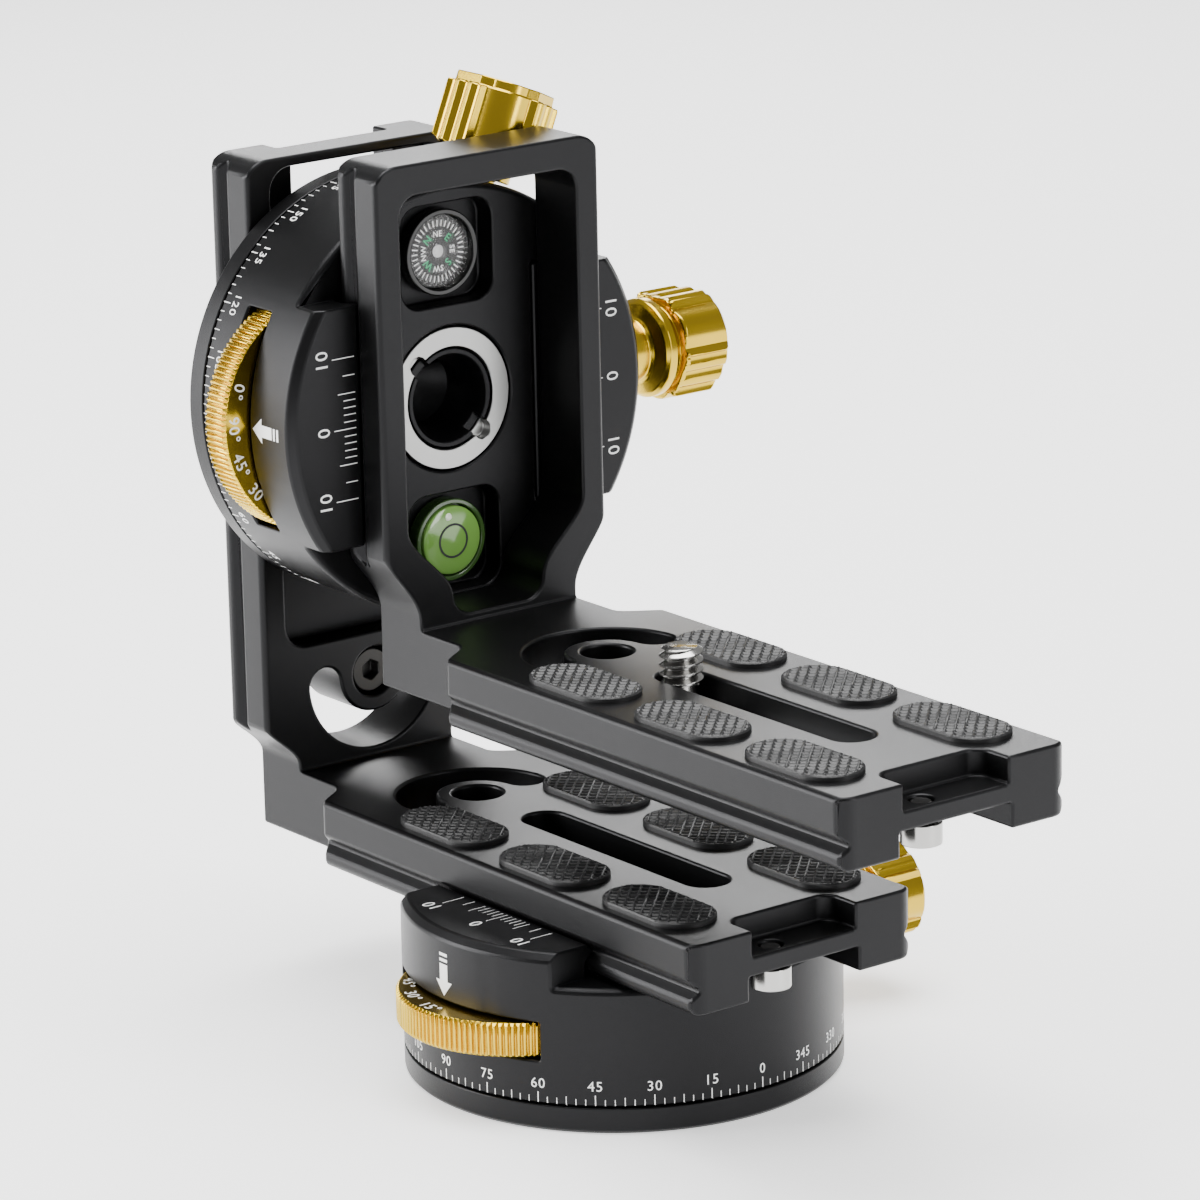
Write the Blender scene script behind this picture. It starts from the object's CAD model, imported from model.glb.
"""The panoramic tripod head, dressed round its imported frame.

Sizes are in millimetres in each sub-assembly's own frame. A rotator's frame has +Z
out of its foot and +Y towards its clamp knob. A bracket arm's frame has +X towards
the free end and +Z out of its deck. A piece is made there and then placed in metres.
"""

import logging
import math
from contextlib import contextmanager
from dataclasses import dataclass, field
from enum import Enum
from typing import Any, Iterable, Iterator, Sequence

import bmesh
import bpy
from mathutils import Matrix, Vector


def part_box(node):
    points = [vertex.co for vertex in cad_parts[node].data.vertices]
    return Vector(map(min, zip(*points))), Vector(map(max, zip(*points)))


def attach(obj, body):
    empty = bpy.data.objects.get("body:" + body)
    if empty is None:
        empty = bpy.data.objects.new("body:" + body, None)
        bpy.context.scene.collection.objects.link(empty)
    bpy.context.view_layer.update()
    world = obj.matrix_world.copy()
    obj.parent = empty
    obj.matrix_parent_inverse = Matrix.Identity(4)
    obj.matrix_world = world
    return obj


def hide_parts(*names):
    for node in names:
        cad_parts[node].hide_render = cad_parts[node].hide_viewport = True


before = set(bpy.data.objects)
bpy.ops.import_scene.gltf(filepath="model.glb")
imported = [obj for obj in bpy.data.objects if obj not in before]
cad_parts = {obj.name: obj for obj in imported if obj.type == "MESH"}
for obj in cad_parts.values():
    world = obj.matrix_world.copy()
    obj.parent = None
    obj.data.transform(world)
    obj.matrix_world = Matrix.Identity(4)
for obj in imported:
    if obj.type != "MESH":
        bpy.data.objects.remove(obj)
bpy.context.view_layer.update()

Point = tuple[float, float]
Place = tuple[float, float, float]
log = logging.getLogger("tripod_head")

# A millimetre in metres. Every other length here is in millimetres.
MM = 0.001
# The free space round a moving piece, and the finer one round the ring nut.
GAP = 0.3
SEAM = GAP / 3
# How far a shank starts inside its head, and a cutting tool passes what it cuts.
LAP = 0.3
OVERRUN = 2.0
# What a round-ended slot's radius lacks to half its width, so that its ends stay arcs.
SLIM = 0.01
# The distances under which vertices are one.
FINE_MERGE = 1e-5
MERGE = 1e-4
COARSE_MERGE = 1e-3
DRUM_SIDES = 160
FINE_SIDES = 96
SMALL_SIDES = 48
HEX_SIDES = 6
PRINT_PROUD = 0.015
WRAP_STEP = 0.5
LETTER_SPACE = 1.12
LETTER_SCALE = 1.37
# From a section across Y and up Z to a bar along X, and from a deck along X to an upright.
SECTION_TO_X = Matrix(((0, 0, 1, 0), (1, 0, 0, 0), (0, 1, 0, 0), (0, 0, 0, 1)))
DECK_TO_UPRIGHT = Matrix(((0, 0, 1, 0), (0, 1, 0, 0), (1, 0, 0, 0), (0, 0, 0, 1)))


class Cut(Enum):
    """How one solid is combined with another."""

    AWAY = "DIFFERENCE"
    JOIN = "UNION"
    KEEP = "INTERSECT"


def polar(radius: float, degrees: float) -> Point:
    """The point at a radius and at an angle from +X."""
    turn = math.radians(degrees)
    return radius * math.cos(turn), radius * math.sin(turn)


def arc(centre: Point, radius: float, start: float, end: float, steps: int = 12) -> list[Point]:
    """Points along a circle's arc.

    Args:
        centre: the circle's centre.
        radius: its radius.
        start: the first angle in degrees.
        end: the last angle in degrees, past start for an anticlockwise arc.
        steps: how many chords the arc has.

    Returns:
        The points from start to end, both ends included.
    """
    reaches = [polar(radius, start + (end - start) * k / steps) for k in range(steps + 1)]
    return [(centre[0] + x, centre[1] + y) for x, y in reaches]


def rounded_box(length: float, width: float, radius: float, steps: int = 10) -> list[Point]:
    """A rectangle about the origin with round corners.

    Args:
        length: its size along X.
        width: its size along Y.
        radius: the corners' radius.
        steps: chords in each corner.

    Returns:
        The outline, anticlockwise.
    """
    x = length / 2 - radius
    y = width / 2 - radius
    corners = ((x, -y, -90), (x, y, 0), (-x, y, 90), (-x, -y, 180))
    return [point for cx, cy, turn in corners for point in arc((cx, cy), radius, turn, turn + 90, steps)]


def s_curve(start: Point, end: Point, steps: int = 14) -> list[Point]:
    """An S-curve between two points that leaves and arrives along X.

    Args:
        start: the first point.
        end: the last point.
        steps: how many chords the curve has.

    Returns:
        The points between start and end, both included.
    """
    points = []
    for k in range(steps + 1):
        share = k / steps
        ease = share * share * (3 - 2 * share)
        points.append((start[0] + (end[0] - start[0]) * share, start[1] + (end[1] - start[1]) * ease))
    return points


def mirrored(half: list[Point]) -> list[Point]:
    """Half an outline and its mirror image across X, as one loop."""
    return half + [(x, -y) for x, y in reversed(half)]


def raised(profile: Iterable[Point], height: float) -> list[Point]:
    """A profile of radius and height, moved up."""
    return [(radius, height + z) for radius, z in profile]


def configured(item: Any, **settings: object) -> Any:
    """The item, with each of the named properties set."""
    for name, value in settings.items():
        setattr(item, name, value)
    return item


def linked(name: str, data: bpy.types.ID) -> bpy.types.Object:
    """A new object of the scene that shows some data."""
    made = bpy.data.objects.new(name, data)
    bpy.context.scene.collection.objects.link(made)
    return made


def evaluated(holder: bpy.types.Object) -> bpy.types.Mesh:
    """The bare mesh that an object's curve or modifiers give."""
    bpy.context.view_layer.update()
    graph = bpy.context.evaluated_depsgraph_get()
    mesh = bpy.data.meshes.new_from_object(holder.evaluated_get(graph))
    mesh.materials.clear()
    return mesh


@contextmanager
def editing(mesh: bpy.types.Mesh) -> Iterator[bmesh.types.BMesh]:
    """A bmesh of the mesh, which is written back to it at the end."""
    work = bmesh.new()
    work.from_mesh(mesh)
    yield work
    work.to_mesh(mesh)
    work.free()


def new_verts(grown: dict[str, list]) -> list[bmesh.types.BMVert]:
    """The vertices that an extrusion has made."""
    return [item for item in grown["geom"] if isinstance(item, bmesh.types.BMVert)]


class Solid:
    """A closed mesh in the making, in millimetres in its sub-assembly's frame."""

    def __init__(self, mesh: bpy.types.Mesh) -> None:
        """Keeps the mesh that later steps cut and join."""
        self.mesh = mesh

    @classmethod
    def of(cls, work: bmesh.types.BMesh, merge: float = MERGE) -> "Solid":
        """Closes a bmesh into a solid whose faces point outwards.

        Args:
            work: the bmesh, which is freed.
            merge: the distance under which vertices are one.

        Returns:
            The solid.
        """
        bmesh.ops.remove_doubles(work, verts=work.verts, dist=merge)
        bmesh.ops.dissolve_degenerate(work, edges=work.edges, dist=merge)
        bmesh.ops.recalc_face_normals(work, faces=work.faces)
        mesh = bpy.data.meshes.new("solid")
        work.to_mesh(mesh)
        work.free()
        return cls(mesh)

    @classmethod
    def prism(cls, outline: Sequence[Point], low: float, high: float) -> "Solid":
        """An outline drawn up from one height to another."""
        work = bmesh.new()
        face = work.faces.new([work.verts.new((x, y, low)) for x, y in outline])
        top = new_verts(bmesh.ops.extrude_face_region(work, geom=[face]))
        bmesh.ops.translate(work, verts=top, vec=(0, 0, high - low))
        return cls.of(work)

    @classmethod
    def block(cls, x: Point, y: Point, z: Point) -> "Solid":
        """A box between two limits on each axis."""
        return cls.prism([(x[0], y[0]), (x[1], y[0]), (x[1], y[1]), (x[0], y[1])], *z)

    @classmethod
    def turned(cls, profile: Sequence[Point], sides: int = FINE_SIDES, closed: bool = False) -> "Solid":
        """A profile of radius and height spun about Z.

        Args:
            profile: the points, from axis to axis unless closed.
            sides: chords in the full circle.
            closed: whether the profile is a ring clear of the axis.

        Returns:
            The solid of revolution.
        """
        work = bmesh.new()
        verts = [work.verts.new((radius, 0, height)) for radius, height in profile]
        pairs = list(zip(verts, verts[1:])) + ([(verts[-1], verts[0])] if closed else [])
        edges = [work.edges.new(pair) for pair in pairs]
        bmesh.ops.spin(work, geom=verts + edges, cent=(0, 0, 0), axis=(0, 0, 1), dvec=(0, 0, 0),
                       angle=math.tau, steps=sides, use_merge=True, use_duplicate=False)
        return cls.of(work)

    @classmethod
    def bar(cls, radius: float, low: float, high: float, sides: int = FINE_SIDES) -> "Solid":
        """A round bar along Z."""
        return cls.prism(arc((0, 0), radius, 0, 360 - 360 / sides, sides - 1), low, high)

    def combined(self, other: "Solid", how: Cut) -> "Solid":
        """Cuts or joins this solid with another.

        Args:
            other: the second solid.
            how: the operation.

        Returns:
            A new solid.
        """
        holders = [linked("work", item.mesh) for item in (self, other)]
        step = holders[0].modifiers.new("step", "BOOLEAN")
        configured(step, operation=how.value, solver="EXACT", object=holders[1])
        mesh = evaluated(holders[0])
        for holder in holders:
            bpy.data.objects.remove(holder)
        return Solid(mesh)

    def cut(self, *tools: "Solid") -> "Solid":
        """This solid with every tool cut away."""
        result = self
        for tool in tools:
            result = result.combined(tool, Cut.AWAY)
        return result

    def join(self, *others: "Solid") -> "Solid":
        """This solid and the others as one."""
        result = self
        for other in others:
            result = result.combined(other, Cut.JOIN)
        return result

    def keep(self, tool: "Solid") -> "Solid":
        """What this solid and the tool share."""
        return self.combined(tool, Cut.KEEP)

    def placed(self, matrix: Matrix) -> "Solid":
        """A copy moved by a matrix, turned right side out if the matrix mirrors it."""
        mesh = self.mesh.copy()
        mesh.transform(matrix)
        if matrix.determinant() < 0:
            mesh.flip_normals()
        return Solid(mesh)

    def moved(self, x: float = 0, y: float = 0, z: float = 0) -> "Solid":
        """A copy moved along the axes."""
        return self.placed(Matrix.Translation((x, y, z)))

    def spun(self, degrees: float, axis: str = "Z") -> "Solid":
        """A copy turned about an axis through the origin."""
        return self.placed(Matrix.Rotation(math.radians(degrees), 4, axis))

    def along_x(self) -> "Solid":
        """A copy whose X, Y and Z now run along Y, Z and X."""
        return self.placed(SECTION_TO_X)

    def along_y(self) -> "Solid":
        """A copy whose Z now runs along Y."""
        return self.spun(-90, "X")


def gathered(solids: Sequence[Solid]) -> Solid:
    """Separate solids kept as one mesh."""
    work = bmesh.new()
    for solid in solids:
        work.from_mesh(solid.mesh)
    mesh = bpy.data.meshes.new("gathered")
    work.to_mesh(mesh)
    work.free()
    return Solid(mesh)


class Nodes:
    """Short names for building a node tree."""

    def __init__(self, tree: bpy.types.NodeTree) -> None:
        """Keeps the tree that the nodes go into."""
        self.tree = tree

    def fill(self, node: bpy.types.Node, inputs: dict[int | str, Any]) -> None:
        """Gives a node's inputs their values, or the sockets that feed them."""
        for name, value in inputs.items():
            if isinstance(value, bpy.types.NodeSocket):
                self.tree.links.new(value, node.inputs[name])
            else:
                node.inputs[name].default_value = value

    def add(self, kind: str, inputs: dict[int | str, Any], **settings: object) -> bpy.types.Node:
        """Adds a node, sets its plain properties and fills its inputs.

        Args:
            kind: the node's type.
            inputs: a value or a socket for each input that is named or numbered.
            settings: the plain properties.

        Returns:
            The node.
        """
        node = configured(self.tree.nodes.new(kind), **settings)
        self.fill(node, inputs)
        return node

    def reckon(self, operation: str, *values: Any) -> bpy.types.NodeSocket:
        """The result of a Math node on values or sockets."""
        return self.add("ShaderNodeMath", dict(enumerate(values)), operation=operation).outputs[0]


def build_blast_group() -> bpy.types.NodeTree:
    """The fine pitted skin of blasted and moulded surfaces.

    Returns:
        A group with Grain, Roughness, Spread and Colour in, and Height, Roughness and Colour out.
    """
    tree = bpy.data.node_groups.new("blasted_skin", "ShaderNodeTree")
    given = {"Grain": ("Float", 9000.0), "Roughness": ("Float", 0.4), "Spread": ("Float", 0.1),
             "Colour": ("Color", (0.02, 0.02, 0.02, 1))}
    for name, (kind, value) in given.items():
        made = tree.interface.new_socket(name=name, in_out="INPUT", socket_type=f"NodeSocket{kind}")
        made.default_value = value
    for name, kind in (("Height", "Float"), ("Roughness", "Float"), ("Colour", "Color")):
        tree.interface.new_socket(name=name, in_out="OUTPUT", socket_type=f"NodeSocket{kind}")
    nodes = Nodes(tree)
    inner = nodes.add("NodeGroupInput", {}).outputs
    outer = nodes.add("NodeGroupOutput", {})
    place = nodes.add("ShaderNodeTexCoord", {}).outputs["Object"]
    noise = "ShaderNodeTexNoise"
    grain = nodes.add(noise, {"Detail": 2.0, "Vector": place, "Scale": inner["Grain"]}).outputs["Fac"]
    smudge = nodes.add(noise, {"Detail": 4.0, "Vector": place, "Scale": 45.0}).outputs["Fac"]
    centred = nodes.reckon("SUBTRACT", smudge, 0.5)
    spread = nodes.reckon("MULTIPLY", centred, inner["Spread"])
    rough = nodes.reckon("ADD", spread, inner["Roughness"])
    shade = nodes.reckon("MULTIPLY_ADD", smudge, 0.5, 0.75)
    tint = nodes.add("ShaderNodeVectorMath", {0: inner["Colour"], "Scale": shade}, operation="SCALE")
    nodes.fill(outer, {"Height": grain, "Roughness": rough, "Colour": tint.outputs[0]})
    return tree


@dataclass(frozen=True)
class Finish:
    """One surface finish, as a maker would order it."""

    name: str
    colour: tuple[float, float, float]
    slot: str
    metallic: float = 0.0
    roughness: float = 0.4
    spread: float = 0.12
    grain: float = 9000.0
    pit: float = 0.03
    coat: float = 0.0
    coat_roughness: float = 0.12
    transmission: float = 0.0
    ior: float = 1.5
    opacity: float = 1.0

    def material(self) -> bpy.types.Material:
        """The finish's material, made on first use."""
        title = f"{self.name}_finish"
        found = bpy.data.materials.get(title)
        if found:
            return found
        made = bpy.data.materials.new(title)
        made.use_nodes = True
        nodes = Nodes(made.node_tree)
        group = bpy.data.node_groups.get("blasted_skin") or build_blast_group()
        skin = nodes.add("ShaderNodeGroup", {}, node_tree=group)
        nodes.fill(skin, {"Grain": self.grain, "Roughness": self.roughness, "Spread": self.spread,
                          "Colour": (*self.colour, 1)})
        bump = nodes.add("ShaderNodeBump", {"Strength": 1.0, "Distance": self.pit * MM,
                                            "Height": skin.outputs["Height"]})
        nodes.fill(made.node_tree.nodes["Principled BSDF"], {
            "Metallic": self.metallic, "IOR": self.ior, "Coat Weight": self.coat,
            "Coat Roughness": self.coat_roughness, "Transmission Weight": self.transmission,
            "Alpha": self.opacity, "Normal": bump.outputs["Normal"],
            "Roughness": skin.outputs["Roughness"], "Base Color": skin.outputs["Colour"]})
        return made


BLACK = Finish("black_anodised", (0.011, 0.011, 0.0118), "anodised_black", metallic=0.8, roughness=0.34,
               spread=0.1, pit=0.022)
GOLD = Finish("gold_anodised", (0.58, 0.39, 0.03), "gold_anodised", metallic=1.0, roughness=0.2,
              spread=0.05, grain=14000.0, pit=0.003)
STEEL = Finish("turned_steel", (0.42, 0.415, 0.4), "steel", metallic=1.0, roughness=0.2, spread=0.08,
               grain=12000.0, pit=0.004)
DARK_STEEL = Finish("blackened_steel", (0.035, 0.034, 0.033), "steel", metallic=0.8, roughness=0.34,
                    pit=0.006)
WIRE = Finish("spring_wire", (0.5, 0.5, 0.5), "spring_steel", metallic=1.0, roughness=0.3, pit=0.003)
NICKEL = Finish("satin_nickel", (0.34, 0.34, 0.335), "nut_plate", metallic=1.0, roughness=0.3, pit=0.004)
RUBBER = Finish("pad_rubber", (0.009, 0.009, 0.0095), "rubber", roughness=0.42, grain=6000.0, pit=0.02)
PLASTIC = Finish("case_plastic", (0.004, 0.004, 0.004), "black_plastic", roughness=0.22, pit=0.004)
DOME = Finish("clear_dome", (1.0, 1.0, 1.0), "clear_dome", roughness=0.02, spread=0.0, pit=0.0,
              transmission=1.0, ior=1.4, opacity=0.1)
LIQUID = Finish("level_liquid", (0.17, 0.36, 0.07), "level_liquid", roughness=0.08, spread=0.02, pit=0.0,
                coat=0.6)
VIAL_RIM = Finish("vial_rim", (0.035, 0.08, 0.018), "level_liquid", roughness=0.16, spread=0.02, pit=0.0,
                  coat=0.5)
BUBBLE = Finish("level_bubble", (0.85, 0.93, 0.72), "level_liquid", roughness=0.06, spread=0.0, pit=0.0,
                coat=1.0)
PRINT = Finish("white_print", (0.85, 0.85, 0.84), "anodised_black", roughness=0.55, pit=0.003)
GREEN_PRINT = Finish("green_print", (0.02, 0.42, 0.17), "black_plastic", roughness=0.5, pit=0.003)
DARK_PRINT = Finish("dark_print", (0.01, 0.012, 0.008), "level_liquid", roughness=0.4, pit=0.003)
DIAL_PRINT = Finish("dial_print", (0.88, 0.87, 0.82), "gold_anodised", roughness=0.5, pit=0.003)


class Piece:
    """A finished object: a solid placed in the frame, with its finish and its body."""

    made: list[str] = []

    def __init__(self, name: str, solid: Solid, place: Matrix, finish: Finish, body: str) -> None:
        """Places the solid and gives it to a body.

        Args:
            name: the piece's name.
            solid: its shape, in millimetres in its own frame.
            place: from that frame, in millimetres, to the head's frame in metres.
            finish: its surface.
            body: the CAD body that it moves with.
        """
        mesh = solid.placed(place).mesh
        mesh.name = name
        mesh.materials.clear()
        mesh.materials.append(finish.material())
        self.object = linked(name, mesh)
        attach(self.object, body)
        Piece.made.append(name)
        log.info("made %s: %d faces", name, len(mesh.polygons))

    def smooth(self, angle: float = 30) -> "Piece":
        """Shades the piece smooth where it turns by less than an angle."""
        for face in self.object.data.polygons:
            face.use_smooth = True
        self.object.data.set_sharp_from_angle(angle=math.radians(angle))
        return self

    def edged(self, width: float, segments: int = 2, angle: float = 28, least: float = 0.0) -> "Piece":
        """Rounds the piece's edges.

        Args:
            width: the rounding's width in millimetres.
            segments: faces across it.
            angle: the least turn, in degrees, of an edge that is rounded.
            least: the length in millimetres under which an edge is taken out first, because
                the rounding would pass its end.

        Returns:
            The piece.
        """
        if least:
            with editing(self.object.data) as work:
                bmesh.ops.dissolve_degenerate(work, edges=work.edges, dist=least * MM)
        self.smooth(angle)
        steps = self.object.modifiers
        configured(steps.new("edge", "BEVEL"), width=width * MM, segments=segments, limit_method="ANGLE",
                   angle_limit=math.radians(angle), use_clamp_overlap=False, miter_outer="MITER_ARC")
        configured(steps.new("shade", "WEIGHTED_NORMAL"), mode="FACE_AREA", weight=50, keep_sharp=True)
        return self

    def stands_for(self, node: str) -> "Piece":
        """Hides the CAD node that the piece stands for."""
        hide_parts(node)
        return self


def dress(node: str, finish: Finish) -> None:
    """Gives a CAD node that stays its material."""
    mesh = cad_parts[node].data
    mesh.materials.clear()
    mesh.materials.append(finish.material())


def lettering(text: str, size: float, bold: float = 0.0) -> Solid:
    """A line of text as a thin solid, centred on the origin and read from +Z.

    Args:
        text: the characters.
        size: the height of a capital in millimetres.
        bold: how far the strokes are thickened.

    Returns:
        The text, twice PRINT_PROUD thick.
    """
    curve = configured(bpy.data.curves.new("text", "FONT"), body=text, size=size * LETTER_SCALE,
                       align_x="CENTER", align_y="CENTER", space_character=LETTER_SPACE,
                       extrude=PRINT_PROUD, offset=bold, resolution_u=3)
    holder = linked("text", curve)
    mesh = evaluated(holder)
    bpy.data.objects.remove(holder)
    bpy.data.curves.remove(curve)
    with editing(mesh) as work:
        bmesh.ops.remove_doubles(work, verts=work.verts, dist=MERGE)
    return Solid(mesh)


def stroke(width: float, low: float, high: float) -> Solid:
    """A thin printed line along Y, as thick as the lettering."""
    return Solid.block((-width / 2, width / 2), (low, high), (-PRINT_PROUD, PRINT_PROUD))


def wrapped(flat: Solid, radius: float) -> Solid:
    """Bends a flat print round a drum.

    Args:
        flat: the print, with X along the rim, Y up the drum and Z outwards.
        radius: the drum's radius. X of zero goes to azimuth -90 degrees.

    Returns:
        The bent print, with its X positive towards +X of the drum.
    """
    mesh = flat.mesh.copy()
    with editing(mesh) as work:
        count = math.ceil(max(abs(vert.co.x) for vert in work.verts) / WRAP_STEP)
        for k in range(-count, count + 1):
            bmesh.ops.bisect_plane(work, geom=[*work.verts, *work.edges, *work.faces], dist=FINE_MERGE,
                                   plane_co=(k * WRAP_STEP, 0, 0), plane_no=(1, 0, 0))
    for vertex in mesh.vertices:
        turn = vertex.co.x / radius - math.pi / 2
        reach = radius + vertex.co.z
        vertex.co = (reach * math.cos(turn), reach * math.sin(turn), vertex.co.y)
    return Solid(mesh)


@dataclass
class Dovetail:
    """The section that both brackets share, as depths below the deck."""

    width: float = 38.0
    thickness: float = 9.8
    side: float = 5.0
    nose: float = 6.4
    lip: float = 7.8
    lip_end: float = 9.0
    nose_width: float = 34.8
    lip_width: float = 37.6
    foot_width: float = 36.0
    web: float = 6.25
    channel: float = 18.8
    round: float = 0.85

    def outline(self) -> list[Point]:
        """The section's outline, across the bar and down from the rounded deck edges."""
        rim = arc((self.width / 2 - self.round, -self.round), self.round, 90, 0, steps=6)
        half = rim + [(self.width / 2, -self.side), (self.nose_width / 2, -self.nose),
                      (self.lip_width / 2, -self.lip), (self.lip_width / 2, -self.lip_end),
                      (self.foot_width / 2, -self.thickness)]
        return [(-x, y) for x, y in half] + half[::-1]


@dataclass
class ArmPlan:
    """An arm seen from above: narrow at the bend, wide to the free end."""

    end: float
    shoulder_start: float
    shoulder_end: float
    corner: float
    neck: float = 13.5

    def outline(self, bar: Dovetail) -> list[Point]:
        """The plan, a little wider than the bar so that the section shapes the sides."""
        full = bar.width / 2 + OVERRUN / 4
        turn = s_curve((self.shoulder_start, -self.neck), (self.shoulder_end, -full))
        corner = arc((self.end - self.corner, -full + self.corner), self.corner, -90, 0)
        return mirrored([(-bar.thickness, -self.neck)] + turn + corner)


@dataclass
class Eye:
    """The screw hole at the bend and the crescent round it."""

    distance: float
    crescent: float
    boss: float = 5.9
    hole: float = 3.65
    hole_depth: float = 4.2
    bore: float = 2.4
    span: float = 172.0
    margin: float = 1.4

    def crescent_tool(self, low: float) -> Solid:
        """The crescent, open towards the bend, as a cutting tool."""
        first = 180 - self.span / 2
        last = 180 + self.span / 2
        width = (self.crescent - self.boss) / 2
        middle = (self.crescent + self.boss) / 2
        outline = arc((0, 0), self.crescent, first, last, steps=32)
        outline += arc(polar(middle, last), width, last, last + 180, steps=10)[1:-1]
        outline += arc((0, 0), self.boss, last, first, steps=28)
        outline += arc(polar(middle, first), width, first - 180, first, steps=10)[1:-1]
        return Solid.prism(outline, low - OVERRUN, OVERRUN).moved(x=self.distance)

    def drill(self, radius: float, low: float) -> Solid:
        """A round cutting tool on the eye's axis, down to a height."""
        return Solid.bar(radius, low, OVERRUN, SMALL_SIDES).moved(x=self.distance)


@dataclass
class PadMould:
    """A rubber pad with a raised grid of crossed ribs on a smooth rim."""

    length: float = 18.7
    width: float = 9.7
    height: float = 1.0
    foot: float = -0.03
    rim: float = 0.3
    rim_share: float = 0.6
    pitch: float = 1.3
    rib: float = 0.34
    rib_reach: float = 0.24
    cross_share: float = 0.8
    cell: float = 0.14
    snap_share: float = 0.8
    edge: float = 0.22

    def shape(self) -> Solid:
        """The pad, with its top face fine enough to carry the ribs."""
        work = bmesh.new()
        bmesh.ops.create_grid(work, x_segments=round(self.length / self.cell),
                              y_segments=round(self.width / self.cell), size=0.5)
        bmesh.ops.scale(work, verts=work.verts, vec=(self.length, self.width, 1))
        outside = [face for face in work.faces if self.inset(face.calc_center_median()) < 0]
        bmesh.ops.delete(work, geom=outside, context="FACES")
        top = new_verts(bmesh.ops.extrude_face_region(work, geom=list(work.faces)))
        for vert in work.verts:
            self.fit(vert.co)
            vert.co.z = self.foot
        for vert in top:
            vert.co.z = self.surface(vert.co)
        return Solid.of(work, FINE_MERGE)

    def inset(self, place: Vector) -> float:
        """How far a place lies inside the pad's outline."""
        straight = (self.length - self.width) / 2
        past = max(abs(place.x) - straight, 0)
        return self.width / 2 - math.hypot(past, place.y)

    def fit(self, place: Vector) -> None:
        """Draws a place at the ragged edge onto the smooth outline."""
        if self.inset(place) > self.cell * self.snap_share:
            return
        straight = (self.length - self.width) / 2
        centre = max(-straight, min(straight, place.x))
        grow = self.width / 2 / math.hypot(place.x - centre, place.y)
        place.x = centre + (place.x - centre) * grow
        place.y = place.y * grow

    def ridge(self, across: float) -> float:
        """How much of a rib stands at a distance across the ribs, from 0 to 1."""
        aside = abs((across * math.sqrt(0.5) / self.pitch) % 1 - 0.5) * self.pitch
        return max(0.0, 1 - aside / self.rib_reach)

    def surface(self, place: Vector) -> float:
        """The top's height at a place: ribs inside the rim, and a rounded edge."""
        inset = self.inset(place)
        edge = max(0.0, 1 - inset / self.edge)
        rise = self.height - self.edge * edge * edge
        if inset < self.rim:
            return rise - self.rib * self.rim_share
        crossed = self.ridge(place.x - place.y) * self.cross_share
        return rise - self.rib + self.rib * max(self.ridge(place.x + place.y), crossed)


@dataclass
class SocketScrew:
    """A screw along Z with a round head and a hexagon socket. A span is its low and high end."""

    head: float
    head_span: Point
    shank: float
    shank_span: Point
    socket: float
    socket_span: Point
    sides: int = SMALL_SIDES

    def shape(self) -> Solid:
        """The screw as one solid."""
        head = Solid.bar(self.head, *self.head_span, self.sides)
        shank = Solid.bar(self.shank, *self.shank_span, self.sides)
        return head.join(shank).cut(Solid.bar(self.socket, *self.socket_span, HEX_SIDES))


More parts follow.
